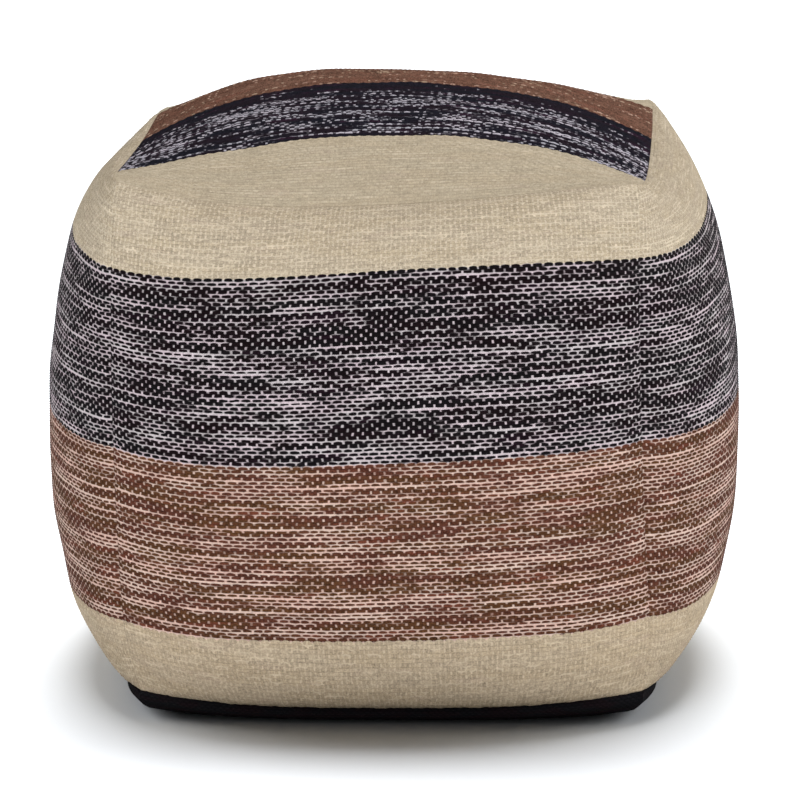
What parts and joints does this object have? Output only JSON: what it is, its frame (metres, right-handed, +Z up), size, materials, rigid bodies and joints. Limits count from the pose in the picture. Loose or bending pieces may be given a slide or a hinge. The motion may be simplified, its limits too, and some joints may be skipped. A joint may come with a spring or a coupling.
{
  "type": "cube pouf stool",
  "caption": "Stuffed cube pouf in thick cotton with woven cream, dark and rust stripes, crowned on top, bulging at the sides, on a flat black base.",
  "frame": {"origin": "on the floor under the middle of the pouf's bounding box, in the plane of the flat base", "axes": "+Z up, and the front, as pictured, faces -Y with +X to its right"},
  "size_m": [0.456, 0.4426, 0.3755],
  "materials": {
    "striped_cotton": "thick flat-woven cotton in cream, near-black navy and rust stripes, matt, with a coarse visible weave",
    "black_cotton": "plain black cotton, matt"
  },
  "bodies": {
    "root": {"top_panel": "striped_cotton", "front_panel": "striped_cotton", "right_panel": "striped_cotton", "back_panel": "striped_cotton", "left_panel": "striped_cotton", "base_panel": "black_cotton"}
  },
  "joints": []
}
